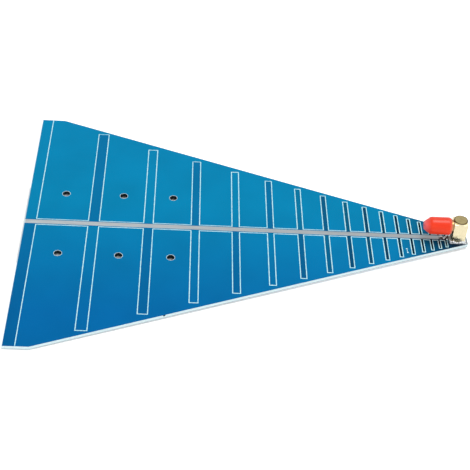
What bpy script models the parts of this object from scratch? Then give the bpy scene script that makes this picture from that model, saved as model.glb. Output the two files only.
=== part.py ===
"""Printed log-periodic antenna: a tapered circuit board whose copper arms alternate between
its two faces, fed at the narrow tip by a right-angle coaxial jack under a push-on dust cap.

Frame: +X runs along the boom to the fed tip, +Y to the left-hand arms, +Z out of the face
that carries the jack. The origin is below the middle of the board, level with the tips of
the jack's legs, on which the board lies. Lengths are in metres.
"""

import math

import bmesh
import bpy
from mathutils import Matrix, Vector

MM = 0.001

# Glass-fibre board
BOARD_LENGTH = 200.0 * MM
BOARD_WIDTH = 150.0 * MM
BOARD_SHOULDER = 10.8 * MM  # parallel stretch of the sides at the wide end
TIP_WIDTH = 7.6 * MM
BOARD_THICKNESS = 1.6 * MM

# Log-periodic array: one ratio shrinks the elements towards an apex beyond the tip
ELEMENT_COUNT = 17
APEX_BEYOND_TIP = 9.9 * MM  # point past the tip where all the dimensions would reach zero
FIRST_ARM_INSET = 2.4 * MM  # centre line of the longest arms, in from the wide edge
LAST_ARM_TO_PAD = 1.56 * MM  # centre line of the shortest arms, from the ground pad
FIRST_ARM_WIDTH = 5.0 * MM
ARM_FILL = 0.9557  # share of the board's half-width that an arm fills, before its end gap
ARM_END_GAP = 1.35 * MM
SECOND_ARM_EXTRA = 1.7 * MM  # the second pair is a little longer than the rule gives
BOOM_WIDTH = 3.16 * MM
COPPER_EDGE_MARGIN = 0.4 * MM

# Thin layers on each face
COPPER_THICKNESS = 0.07 * MM
MASK_THICKNESS = 0.045 * MM
MASK_EDGE_MARGIN = 0.15 * MM
MASK_OVER_EDGE = 0.33 * MM  # how far the mask laps over the edges of bare copper
MASK_STEP = 0.08 * MM  # width of the mask's step beside a covered track
TINNING_THICKNESS = 0.03 * MM
LEGEND_THICKNESS = 0.03 * MM
LEGEND_WIDTH = 0.38 * MM
LEGEND_OFFSET = 0.27 * MM  # from the copper's edge to the middle of the printed line
LAYER_GAP = 0.005 * MM

# Fixing holes, one each side of the boom in the three widest bays
HOLE_BAYS = 3
HOLE_DIAMETER = 3.4 * MM
HOLE_OFFSET = 19.9 * MM  # from the boom's centre line
HOLE_MASK_MARGIN = 0.2 * MM

# Right-angle jack, machined from square bar
JACK_FROM_TIP = 4.75 * MM
BLOCK_SIZE = 6.35 * MM
BLOCK_HEIGHT = 10.4 * MM
BLOCK_CHAMFER = 0.4 * MM
FOOT_HEIGHT = 1.2 * MM  # channels milled across the underside leave a foot at each corner
FOOT_SIZE = 1.6 * MM
LEG_DIAMETER = 1.0 * MM
LEG_PITCH = 5.08 * MM
LEG_BELOW_BOARD = 1.1 * MM
THREAD_DIAMETER = 6.35 * MM
BARREL_LENGTH = 9.0 * MM
BARREL_TOP_MARGIN = 0.1 * MM  # block left above the barrel
RELIEF_LENGTH = 1.3 * MM
RELIEF_DEPTH = 0.4 * MM
THREAD_CHAMFER = 0.3 * MM
MOUTH_DIAMETER = 4.6 * MM
MOUTH_DEPTH = 1.9 * MM
BORE_DIAMETER = 4.1 * MM
TAIL_BORE_DIAMETER = 3.6 * MM
ACCESS_DIAMETER = 4.7 * MM
COVER_DIAMETER = 6.3 * MM
COVER_THICKNESS = 0.7 * MM
COVER_PLUG_DEPTH = 1.2 * MM
COVER_CHAMFER = 0.2 * MM
CONTACT_DIAMETER = 1.27 * MM
SOCKET_DIAMETER = 0.93 * MM
SOCKET_DEPTH = 2.6 * MM
SOCKET_SLOT = 0.2 * MM
SOCKET_SLOT_DEPTH = 2.2 * MM
CONTACT_TAIL_DIAMETER = 0.9 * MM
TAIL_PIN_DIAMETER = 1.0 * MM
PIN_POINT = 0.6  # a pin's radius at its tip, as a share of the full radius
SEAT_GAP = 0.03 * MM

# Plated holes and solder under the jack
HOLE_CLEARANCE = 0.2 * MM  # radial, from a leg to the laminate
PLATING = 0.05 * MM
RING_WIDTH = 0.3 * MM  # copper ring round each plated hole
RING_ISOLATION = 0.4 * MM
PAD_MARGIN = 0.7 * MM  # bare ground pad beyond the block's sides
PAD_FRONT_MARGIN = 0.4 * MM
PAD_TIP_MARGIN = 0.25 * MM
FEED_NECK_WIDTH = 2.2 * MM
FEED_NECK_LENGTH = 4.3 * MM
NECK_MASK_LAP = 0.1 * MM
SOLDER_HEIGHT = 0.75 * MM
SOLDER_RIM = 0.05 * MM  # thickness that is left at the fillet's tip
FOOT_SOLDER_HEIGHT = 1.1 * MM
FOOT_SOLDER_SPREAD = 0.5 * MM  # beyond the foot, at the pad
FOOT_SOLDER_LEAN = 0.8  # share of the spread that its sloping sides take up

# Dust cap pushed over the thread
CAP_WALL = 0.72 * MM
CAP_FIT = 0.1 * MM  # radial, over the thread
CAP_GAP = 0.65 * MM  # from the block to the cap's open end
CAP_END_SPACE = 1.25 * MM
CAP_END_WALL = 2.9 * MM
CAP_NOSE_DIAMETER = 3.0 * MM
CAP_LIP = 0.45 * MM  # the rim is thinned by this much over twice the length

# Facets round a full turn
FINE_FACETS = 44
FACETS = 32
SMALL_FACETS = 16
CURVE_STEPS = 4  # facets on a quarter turn of a small curve

TOP = 1
BOTTOM = -1
LEFT = 1
RIGHT = -1

wide_x = -BOARD_LENGTH / 2
tip_x = BOARD_LENGTH / 2
apex_x = tip_x + APEX_BEYOND_TIP
shoulder_x = wide_x + BOARD_SHOULDER
side_slope = (BOARD_WIDTH - TIP_WIDTH) / 2 / (tip_x - shoulder_x)
laminate_z = {BOTTOM: LEG_BELOW_BOARD, TOP: LEG_BELOW_BOARD + BOARD_THICKNESS}

jack_x = tip_x - JACK_FROM_TIP
block_face_x = jack_x - BLOCK_SIZE / 2
pad_front_x = block_face_x - PAD_FRONT_MARGIN
first_arm_distance = apex_x - wide_x - FIRST_ARM_INSET
last_arm_distance = apex_x - pad_front_x + LAST_ARM_TO_PAD
spacing_ratio = (last_arm_distance / first_arm_distance) ** (1 / (ELEMENT_COUNT - 1))

pad_z = laminate_z[TOP] + 2 * LAYER_GAP + COPPER_THICKNESS + TINNING_THICKNESS
seat_z = pad_z + SEAT_GAP
channel_z = seat_z + FOOT_HEIGHT
block_top = seat_z + BLOCK_HEIGHT
axis_z = block_top - BARREL_TOP_MARGIN - THREAD_DIAMETER / 2
mouth_x = block_face_x - BARREL_LENGTH
insulator_x = mouth_x + MOUTH_DEPTH
plated_radius = LEG_DIAMETER / 2 + HOLE_CLEARANCE
ring_radius = plated_radius + RING_WIDTH
leg_places = [
    (jack_x + along * LEG_PITCH / 2, across * LEG_PITCH / 2)
    for along in (-1, 1)
    for across in (-1, 1)
]


def clear_scene():
    for thing in list(bpy.data.objects):
        bpy.data.objects.remove(thing, do_unlink=True)


def finish(name, colour, roughness, metallic=0.0):
    """A Principled material."""
    made = bpy.data.materials.new(name)
    made.use_nodes = True
    shader = made.node_tree.nodes["Principled BSDF"]
    shader.inputs["Base Color"].default_value = (*colour, 1.0)
    shader.inputs["Roughness"].default_value = roughness
    shader.inputs["Metallic"].default_value = metallic
    made.diffuse_color = (*colour, 1.0)
    return made


def add_object(name, bm, material=None):
    """The bmesh as an object. One without a material is a cutter, which isn't a piece."""
    bmesh.ops.recalc_face_normals(bm, faces=bm.faces)
    mesh = bpy.data.meshes.new(name)
    bm.to_mesh(mesh)
    bm.free()
    made = bpy.data.objects.new(name, mesh)
    bpy.context.scene.collection.objects.link(made)
    if material:
        mesh.materials.append(material)
    else:
        made.hide_render = True
        made.display_type = "WIRE"
    return made


def boolean(target, operation, *others):
    for other in others:
        step = target.modifiers.new(other.name, "BOOLEAN")
        step.operation = operation
        step.solver = "EXACT"
        step.object = other


def smooth(piece, angle=35):
    piece.data.shade_smooth()
    piece.data.set_sharp_from_angle(angle=math.radians(angle))


def add_prism(bm, outline, low, high):
    """A flat outline raised between two heights."""
    corners = [bm.verts.new((x, y, low)) for x, y in outline]
    base = bm.faces.new(corners)
    raised = bmesh.ops.extrude_face_region(bm, geom=[base])["geom"]
    moved = [part for part in raised if isinstance(part, bmesh.types.BMVert)]
    bmesh.ops.translate(bm, verts=moved, vec=(0, 0, high - low))


def prism(outline, low, high):
    bm = bmesh.new()
    add_prism(bm, outline, low, high)
    return bm


def add_turning(bm, profile, centre, direction, segments, hollow):
    """A profile of (radius, distance) pairs turned about an axis through centre.

    A hollow piece has a closed profile. The ends of a solid one are closed by flat discs.
    """
    axis = Vector(direction).normalized()
    across = axis.orthogonal().normalized()
    verts = [bm.verts.new(Vector(centre) + across * r + axis * d) for r, d in profile]
    ends = verts[1:] + verts[:1] if hollow else verts[1:]
    edges = [bm.edges.new(pair) for pair in zip(verts, ends)]
    bmesh.ops.spin(
        bm,
        geom=verts + edges,
        cent=centre,
        axis=axis,
        angle=2 * math.pi,
        steps=segments,
        use_merge=True,
    )
    bmesh.ops.holes_fill(bm, edges=[edge for edge in bm.edges if edge.is_boundary])


def turning(profile, centre, direction, segments=FACETS, hollow=False):
    bm = bmesh.new()
    add_turning(bm, profile, centre, direction, segments, hollow)
    return bm


def circle(centre, radius, segments):
    return [
        (
            centre[0] + radius * math.cos(2 * math.pi * step / segments),
            centre[1] + radius * math.sin(2 * math.pi * step / segments),
        )
        for step in range(segments)
    ]


def layer_heights(face, low, high):
    """Heights of a layer that lies from low to high above the laminate of one face."""
    return sorted(laminate_z[face] + face * height for height in (low, high))


def board_half_width(x, inset=0.0):
    """From the boom's centre line to the board's side, less an inset square to the side."""
    straight = BOARD_WIDTH / 2 - inset
    tapered = TIP_WIDTH / 2 + side_slope * (tip_x - x) - inset * math.hypot(1, side_slope)
    return min(straight, tapered)


def board_outline(inset=0.0):
    left = [
        (wide_x + inset, BOARD_WIDTH / 2 - inset),
        (shoulder_x, BOARD_WIDTH / 2 - inset),
        (tip_x - inset, board_half_width(tip_x - inset, inset)),
    ]
    return left + [(x, -y) for x, y in reversed(left)]


def arm_distance(number):
    """From the apex to an element's centre line."""
    return first_arm_distance * spacing_ratio ** (number - 1)


def arm_edges(number):
    """Where an element's copper starts and ends along the boom."""
    half = FIRST_ARM_WIDTH * spacing_ratio ** (number - 1) / 2
    centre = apex_x - arm_distance(number)
    return max(centre - half, wide_x + COPPER_EDGE_MARGIN), centre + half


def arm_reach(number):
    """From the boom's centre line to the end of an arm."""
    centre = apex_x - arm_distance(number)
    if number == 1:
        return board_half_width(centre, COPPER_EDGE_MARGIN)
    extra = SECOND_ARM_EXTRA if number == 2 else 0.0
    return ARM_FILL * board_half_width(centre) - ARM_END_GAP + extra


def arm_is_on(face, side, number):
    """Arms alternate: even ones are on the top at the left, odd ones at the right."""
    return (number % 2 == 0) == (face * side > 0)


def pad_edge(side, grow):
    """One half of the bare ground pad under the jack, from the boom round to the tip."""
    half = BLOCK_SIZE / 2 + PAD_MARGIN
    end = tip_x - PAD_TIP_MARGIN
    corner = tip_x - (half + PAD_TIP_MARGIN - TIP_WIDTH / 2) / side_slope
    return [
        (pad_front_x - grow, side * (half + grow)),
        (corner, side * (half + grow)),
        (end + grow, side * (board_half_width(end, PAD_TIP_MARGIN) + grow)),
    ]


def neck_edge(side, boom_half, neck_half):
    """One half of the boom's end on the bottom: a narrow neck, round about the tail pin."""
    start = jack_x - FEED_NECK_LENGTH
    turns = [math.pi / 2 * step / CURVE_STEPS for step in range(CURVE_STEPS)]
    return [(start, side * boom_half), (start, side * neck_half)] + [
        (jack_x + neck_half * math.sin(turn), side * neck_half * math.cos(turn)) for turn in turns
    ]


def copper_side(face, side, grow):
    """One side of a face's copper, from the wide end to the tip."""
    inner = side * (BOOM_WIDTH / 2 + grow)
    points = [] if arm_is_on(face, side, 1) else [(wide_x + COPPER_EDGE_MARGIN - grow, inner)]
    for number in range(1, ELEMENT_COUNT + 1):
        if arm_is_on(face, side, number):
            start, end = arm_edges(number)
            reach = side * (arm_reach(number) + grow)
            points += [(start - grow, inner), (start - grow, reach)]
            points += [(end + grow, reach), (end + grow, inner)]
    if face == TOP:
        return points + [(pad_front_x - grow, inner)] + pad_edge(side, grow)
    return points + neck_edge(side, BOOM_WIDTH / 2 + grow, FEED_NECK_WIDTH / 2 + grow)


def copper_outline(face, grow=0.0):
    left = copper_side(face, LEFT, grow)
    end = [(jack_x + FEED_NECK_WIDTH / 2 + grow, 0.0)] if face == BOTTOM else []
    return left + end + list(reversed(copper_side(face, RIGHT, grow)))


def bare_side(face, side, start_x, shrink):
    """One side of the mask's opening, or of the tinning that fills it."""
    half = BOOM_WIDTH / 2 - MASK_OVER_EDGE - shrink
    points = [(start_x, side * half)]
    if face == TOP:
        return points + [(pad_front_x + shrink, side * half)] + pad_edge(side, -shrink)
    neck_half = FEED_NECK_WIDTH / 2 - NECK_MASK_LAP - shrink
    return points + neck_edge(side, half, neck_half)


def bare_outline(face, start_x, shrink=0.0):
    left = bare_side(face, LEFT, start_x, shrink)
    neck_half = FEED_NECK_WIDTH / 2 - NECK_MASK_LAP - shrink
    end = [(jack_x + neck_half, 0.0)] if face == BOTTOM else []
    return left + end + list(reversed(bare_side(face, RIGHT, start_x, shrink)))


def legend_path(side, grow):
    """A line along the boom that runs out round every arm, at a distance from the copper."""
    inner = side * (BOOM_WIDTH / 2 + grow)
    first = arm_edges(1)[1] + grow
    edge = side * board_half_width(first, MASK_EDGE_MARGIN + LEGEND_WIDTH / 2)
    points = [(first, edge), (first, inner)]
    for number in range(2, ELEMENT_COUNT + 1):
        start, end = arm_edges(number)
        reach = side * (arm_reach(number) + grow)
        points += [(start - grow, inner), (start - grow, reach)]
        points += [(end + grow, reach), (end + grow, inner)]
    return points + [(pad_front_x - LEGEND_WIDTH, inner)]


def hole_places():
    """Fixing holes stand in the middle of the widest bays."""
    places = []
    for number in range(1, HOLE_BAYS + 1):
        middle = (arm_edges(number)[1] + arm_edges(number + 1)[0]) / 2
        places += [(middle, HOLE_OFFSET), (middle, -HOLE_OFFSET)]
    return places


def cutters_round(name, places, radius, low, high, segments=FACETS):
    """Upright cylinders at several places, as one cutter."""
    bm = bmesh.new()
    for place in places:
        add_prism(bm, circle(place, radius, segments), low, high)
    return add_object(name, bm)


def make_substrate(material):
    board = add_object(
        "board_substrate", prism(board_outline(), laminate_z[BOTTOM], laminate_z[TOP]), material
    )
    low = laminate_z[BOTTOM] - MM
    high = laminate_z[TOP] + MM
    fixing = cutters_round("fixing_hole_cutter", hole_places(), HOLE_DIAMETER / 2, low, high)
    pins = leg_places + [(jack_x, 0.0)]
    plated = cutters_round("plated_hole_cutter", pins, plated_radius, low, high, SMALL_FACETS)
    boolean(board, "DIFFERENCE", fixing, plated)


def plated_tube(name, places):
    """The plating through each hole, with the ring that it joins to on the far face."""
    bm = bmesh.new()
    inner = plated_radius - LAYER_GAP - PLATING
    outer = plated_radius - LAYER_GAP
    low = laminate_z[BOTTOM] - LAYER_GAP - COPPER_THICKNESS
    high = laminate_z[TOP] + LAYER_GAP + COPPER_THICKNESS
    ring_low = laminate_z[BOTTOM] - LAYER_GAP
    ring_high = laminate_z[TOP] + LAYER_GAP
    profile = [
        (inner, low),
        (ring_radius, low),
        (ring_radius, ring_low),
        (outer, ring_low),
        (outer, ring_high),
        (ring_radius, ring_high),
        (ring_radius, high),
        (inner, high),
    ]
    for x, y in places:
        add_turning(bm, profile, (x, y, 0.0), (0, 0, 1), SMALL_FACETS, True)
    return add_object(name, bm)


def make_copper(face, name, pins, others, material):
    """The etched array of one face with the plated holes that belong to it."""
    low, high = layer_heights(face, LAYER_GAP, LAYER_GAP + COPPER_THICKNESS)
    copper = add_object(name, prism(copper_outline(face), low, high), material)
    drilled = cutters_round(f"{name}_drill", pins, plated_radius - LAYER_GAP - PLATING / 2,
                            low - MM, high + MM, SMALL_FACETS)
    boolean(copper, "DIFFERENCE", drilled)
    if face == TOP:
        isolation = ring_radius + RING_ISOLATION
        clear = cutters_round(f"{name}_isolation", others, isolation, low - MM, high + MM)
        boolean(copper, "DIFFERENCE", clear)
    boolean(copper, "UNION", plated_tube(f"{name}_plating", pins))


def make_mask(face, name, material):
    """Lacquer over the laminate and, a step higher, over the copper, bare along the boom."""
    low, high = layer_heights(face, LAYER_GAP, LAYER_GAP + MASK_THICKNESS)
    mask = add_object(name, prism(board_outline(MASK_EDGE_MARGIN), low, high), material)
    cover_top = 2 * LAYER_GAP + COPPER_THICKNESS + MASK_THICKNESS
    low, high = layer_heights(face, LAYER_GAP, cover_top)
    raised = add_object(f"{name}_raised", prism(copper_outline(face, MASK_STEP), low, high))
    low, high = layer_heights(face, -MM, 2 * LAYER_GAP + COPPER_THICKNESS)
    under = add_object(f"{name}_under", prism(copper_outline(face, LAYER_GAP), low, high))
    low, high = layer_heights(face, -MM, MM)
    opening = add_object(f"{name}_opening", prism(bare_outline(face, wide_x - MM), low, high))
    radius = HOLE_DIAMETER / 2 + HOLE_MASK_MARGIN
    fixing = cutters_round(f"{name}_fixing", hole_places(), radius, low, high)
    boolean(mask, "UNION", raised)
    boolean(mask, "DIFFERENCE", under, opening, fixing)
    if face == BOTTOM:
        rings = ring_radius + NECK_MASK_LAP
        boolean(mask, "DIFFERENCE", cutters_round(f"{name}_rings", leg_places, rings, low, high))


def make_tinning(face, name, material):
    """Tin on the bare boom, and on the ground pad at the top."""
    base = 2 * LAYER_GAP + COPPER_THICKNESS
    low, high = layer_heights(face, base, base + TINNING_THICKNESS)
    start_x = wide_x + COPPER_EDGE_MARGIN + LAYER_GAP
    outline = bare_outline(face, start_x, LAYER_GAP)
    tinning = add_object(name, prism(outline, low, high), material)
    low, high = low - MM, high + MM
    if face == TOP:
        legs = cutters_round(f"{name}_legs", leg_places, plated_radius, low, high, SMALL_FACETS)
        isolation = ring_radius + RING_ISOLATION
        pin = cutters_round(f"{name}_pin", [(jack_x, 0.0)], isolation, low, high)
        boolean(tinning, "DIFFERENCE", legs, pin)
    else:
        pin = cutters_round(f"{name}_pin", [(jack_x, 0.0)], plated_radius, low, high, SMALL_FACETS)
        boolean(tinning, "DIFFERENCE", pin)


def make_legend(face, side, name, material):
    base = 2 * LAYER_GAP + MASK_THICKNESS
    low, high = layer_heights(face, base, base + LEGEND_THICKNESS)
    near = legend_path(side, LEGEND_OFFSET - LEGEND_WIDTH / 2)
    far = legend_path(side, LEGEND_OFFSET + LEGEND_WIDTH / 2)
    add_object(name, prism(near + list(reversed(far)), low, high), material)


def make_block():
    """The square body of the jack, its edges broken by a small chamfer."""
    bm = bmesh.new()
    size = Matrix.Diagonal((BLOCK_SIZE, BLOCK_SIZE, BLOCK_HEIGHT, 1.0))
    place = Matrix.Translation((jack_x, 0.0, seat_z + BLOCK_HEIGHT / 2))
    bmesh.ops.create_cube(bm, size=1.0, matrix=place @ size)
    bmesh.ops.bevel(
        bm,
        geom=bm.edges[:],
        offset=BLOCK_CHAMFER,
        segments=1,
        profile=0.5,
        affect="EDGES",
        material=-1,
    )
    return bm


def add_box(name, low, high):
    bm = bmesh.new()
    size = Vector(high) - Vector(low)
    place = Matrix.Translation((Vector(high) + Vector(low)) / 2)
    bmesh.ops.create_cube(bm, size=1.0, matrix=place @ Matrix.Diagonal((*size, 1.0)))
    return add_object(name, bm)


def add_drill(name, radius, centre, direction, length):
    """A round cutter that starts at centre and runs along direction."""
    return add_object(name, turning([(radius, 0.0), (radius, length)], centre, direction))


def make_barrel():
    """The round nose of the jack, sunk into the block, with a relief behind its thread."""
    crest = THREAD_DIAMETER / 2
    relief = crest - RELIEF_DEPTH
    profile = [
        (relief, -BLOCK_SIZE / 4),
        (relief, RELIEF_LENGTH),
        (crest, RELIEF_LENGTH + THREAD_CHAMFER),
        (crest, BARREL_LENGTH - THREAD_CHAMFER),
        (crest - THREAD_CHAMFER, BARREL_LENGTH),
    ]
    return add_object(
        "barrel_blank", turning(profile, (block_face_x, 0.0, axis_z), (-1, 0, 0), FINE_FACETS)
    )


def make_legs():
    leg = LEG_DIAMETER / 2
    profile = [(leg * PIN_POINT, 0.0), (leg, leg / 2), (leg, seat_z + FOOT_HEIGHT / 2)]
    bm = bmesh.new()
    for x, y in leg_places:
        add_turning(bm, profile, (x, y, 0.0), (0, 0, 1), SMALL_FACETS, False)
    return add_object("leg_blanks", bm)


def make_jack_body(material):
    """Block, threaded barrel, corner feet and legs, all one piece of brass."""
    body = add_object("jack_body", make_block(), material)
    smooth(body)
    half = BLOCK_SIZE / 2
    inside = half - FOOT_SIZE
    along = add_box(
        "channel_along",
        (jack_x - half - MM, -inside, seat_z - MM),
        (jack_x + half + MM, inside, channel_z),
    )
    across = add_box(
        "channel_across",
        (jack_x - inside, -half - MM, seat_z - MM),
        (jack_x + inside, half + MM, channel_z),
    )
    boolean(body, "UNION", make_barrel())
    boolean(body, "DIFFERENCE", along, across)
    boolean(body, "UNION", make_legs())

    start = (mouth_x - MM, 0.0, axis_z)
    bore_end = jack_x + CONTACT_DIAMETER / 4
    floor = axis_z - CONTACT_DIAMETER
    boolean(
        body,
        "DIFFERENCE",
        add_drill("bore_drill", BORE_DIAMETER / 2, start, (1, 0, 0), bore_end - start[0]),
        add_drill("mouth_drill", MOUTH_DIAMETER / 2, start, (1, 0, 0), MM + MOUTH_DEPTH),
        add_drill(
            "access_drill", ACCESS_DIAMETER / 2, (jack_x, 0.0, floor), (0, 0, 1), block_top
        ),
        add_drill(
            "tail_drill",
            TAIL_BORE_DIAMETER / 2,
            (jack_x, 0.0, seat_z),
            (0, 0, 1),
            axis_z - CONTACT_DIAMETER / 4 - seat_z,
        ),
    )


def make_cover(material):
    """The disc that closes the hole through which the contact was soldered."""
    head = COVER_DIAMETER / 2
    plug = ACCESS_DIAMETER / 2 - SEAT_GAP
    seat = block_top + SEAT_GAP
    top = seat + COVER_THICKNESS
    cover = add_object(
        "jack_cover_disc",
        turning(
            [
                (plug, seat - COVER_PLUG_DEPTH),
                (plug, seat),
                (head, seat),
                (head, top - COVER_CHAMFER),
                (head - COVER_CHAMFER, top),
            ],
            (jack_x, 0.0, 0.0),
            (0, 0, 1),
            FINE_FACETS,
        ),
        material,
    )
    smooth(cover)


def make_insulators(material):
    """White sleeves that hold the centre conductor: one in the barrel, one under the block."""
    inner = CONTACT_DIAMETER / 2 + SEAT_GAP
    outer = BORE_DIAMETER / 2 - SEAT_GAP
    length = jack_x - ACCESS_DIAMETER / 2 - SEAT_GAP - insulator_x
    profile = [(inner, 0.0), (outer, 0.0), (outer, length), (inner, length)]
    bm = turning(profile, (insulator_x, 0.0, axis_z), (1, 0, 0), FACETS, True)
    smooth(add_object("barrel_insulator", bm, material))
    outer = TAIL_BORE_DIAMETER / 2 - SEAT_GAP
    low = channel_z + SEAT_GAP
    high = axis_z - CONTACT_DIAMETER - SEAT_GAP
    profile = [(inner, low), (outer, low), (outer, high), (inner, high)]
    bm = turning(profile, (jack_x, 0.0, 0.0), (0, 0, 1), FACETS, True)
    smooth(add_object("tail_insulator", bm, material))


def make_contact(material):
    """The slotted socket on the jack's axis, turned down at the back to lie in the tail pin."""
    full = CONTACT_DIAMETER / 2
    socket = SOCKET_DIAMETER / 2
    tail = CONTACT_TAIL_DIAMETER / 2
    step = jack_x - ACCESS_DIAMETER / 2 - insulator_x
    end = jack_x + full - insulator_x
    lead = (full - socket) / 4
    contact = add_object(
        "centre_contact",
        turning(
            [
                (socket, SOCKET_DEPTH),
                (socket, lead),
                (socket + lead, 0.0),
                (full - lead, 0.0),
                (full, lead),
                (full, step),
                (tail, step),
                (tail, end),
            ],
            (insulator_x, 0.0, axis_z),
            (1, 0, 0),
            SMALL_FACETS,
        ),
        material,
    )
    smooth(contact)
    slot = SOCKET_SLOT / 2
    for name, half_y, half_z in (("slot_across", 2 * full, slot), ("slot_upright", slot, 2 * full)):
        low = (insulator_x - SOCKET_SLOT_DEPTH, -half_y, axis_z - half_z)
        high = (insulator_x + SOCKET_SLOT_DEPTH, half_y, axis_z + half_z)
        boolean(contact, "DIFFERENCE", add_box(name, low, high))


def make_tail_pin(material):
    """The pin that goes down through the board, with a cradle on top for the contact."""
    thick = CONTACT_DIAMETER / 2
    thin = TAIL_PIN_DIAMETER / 2
    pin = add_object(
        "tail_pin",
        turning(
            [
                (thin * PIN_POINT, 0.0),
                (thin, thin / 2),
                (thin, channel_z),
                (thick, channel_z),
                (thick, axis_z),
            ],
            (jack_x, 0.0, 0.0),
            (0, 0, 1),
            SMALL_FACETS,
        ),
        material,
    )
    smooth(pin)
    radius = CONTACT_TAIL_DIAMETER / 2 + SEAT_GAP
    start = (jack_x - 2 * thick, 0.0, axis_z)
    boolean(pin, "DIFFERENCE", add_drill("cradle_drill", radius, start, (1, 0, 0), 4 * thick))


def make_solder(name, place, pin_radius, face_radius, material):
    """Solder drawn up into a plated hole, with a hollow-sided fillet round the pin below."""
    inner = pin_radius + SEAT_GAP
    in_hole = plated_radius - LAYER_GAP - PLATING - SEAT_GAP
    base = laminate_z[BOTTOM] - 3 * LAYER_GAP - COPPER_THICKNESS - TINNING_THICKNESS
    turns = [math.pi / 2 * step / CURVE_STEPS for step in range(CURVE_STEPS + 1)]
    rim = inner + SOLDER_RIM
    curve = [
        (
            rim + (face_radius - rim) * (1 - math.sin(turn)),
            base - SOLDER_HEIGHT * (1 - math.cos(turn)),
        )
        for turn in turns
    ]
    profile = [(inner, laminate_z[TOP]), (in_hole, laminate_z[TOP]), (in_hole, base)]
    profile += curve
    profile += [(inner, base - SOLDER_HEIGHT)]
    bm = turning(profile, (place[0], place[1], 0.0), (0, 0, 1), SMALL_FACETS, True)
    smooth(add_object(name, bm, material), 50)


def make_foot_solder(name, side_x, side_y, material):
    """Solder run up round a foot of the jack from the pad, as a low skirt with sloping sides."""
    inside = BLOCK_SIZE / 2 - FOOT_SIZE - FOOT_SOLDER_SPREAD
    outside = BLOCK_SIZE / 2 + FOOT_SOLDER_SPREAD
    middle = Vector((jack_x + side_x * (inside + outside) / 2, side_y * (inside + outside) / 2, 0.0))
    bm = bmesh.new()
    size = Matrix.Diagonal((outside - inside, outside - inside, FOOT_SOLDER_HEIGHT, 1.0))
    base = pad_z + LAYER_GAP
    lift = Matrix.Translation(middle + Vector((0.0, 0.0, base + FOOT_SOLDER_HEIGHT / 2)))
    bmesh.ops.create_cube(bm, size=1.0, matrix=lift @ size)
    upright = [edge for edge in bm.edges if abs(edge.verts[0].co.z - edge.verts[1].co.z) > SEAT_GAP]
    bmesh.ops.bevel(
        bm,
        geom=upright,
        offset=FOOT_SOLDER_SPREAD,
        segments=2,
        profile=0.5,
        affect="EDGES",
        material=-1,
    )
    shrink = 1 - 2 * FOOT_SOLDER_LEAN * FOOT_SOLDER_SPREAD / (outside - inside)
    for corner in bm.verts:
        if corner.co.z > base + FOOT_SOLDER_HEIGHT / 2:
            corner.co.x = middle.x + (corner.co.x - middle.x) * shrink
            corner.co.y = middle.y + (corner.co.y - middle.y) * shrink
    skirt = add_object(name, bm, material)
    smooth(skirt)
    foot_half = FOOT_SIZE / 2 + SEAT_GAP
    reach = Vector((foot_half, foot_half, 2 * FOOT_SOLDER_HEIGHT))
    centre = middle + Vector((0.0, 0.0, base))
    boolean(skirt, "DIFFERENCE", add_box(f"{name}_foot", centre - reach, centre + reach))


def make_dust_cap(material):
    """A moulded cap with a tapered closed end, pushed over the barrel's thread."""
    inner = THREAD_DIAMETER / 2 + CAP_FIT
    outer = inner + CAP_WALL
    depth = BARREL_LENGTH - CAP_GAP + CAP_END_SPACE
    length = depth + CAP_END_WALL
    nose = CAP_NOSE_DIAMETER / 2
    corner = CAP_END_WALL / 6
    cap = add_object(
        "dust_cap",
        turning(
            [
                (inner - CAP_WALL, depth),
                (inner, depth - CAP_WALL),
                (inner, CAP_LIP / 3),
                (inner + CAP_LIP / 3, 0.0),
                (outer - CAP_LIP, 0.0),
                (outer - CAP_LIP / 3, CAP_LIP / 2),
                (outer, 2 * CAP_LIP),
                (outer, depth - corner),
                (outer - corner / 4, depth),
                (nose + corner / 2, length - corner / 2),
                (nose, length),
            ],
            (block_face_x - CAP_GAP, 0.0, axis_z),
            (-1, 0, 0),
            FINE_FACETS,
        ),
        material,
    )
    smooth(cap, 28)


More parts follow.
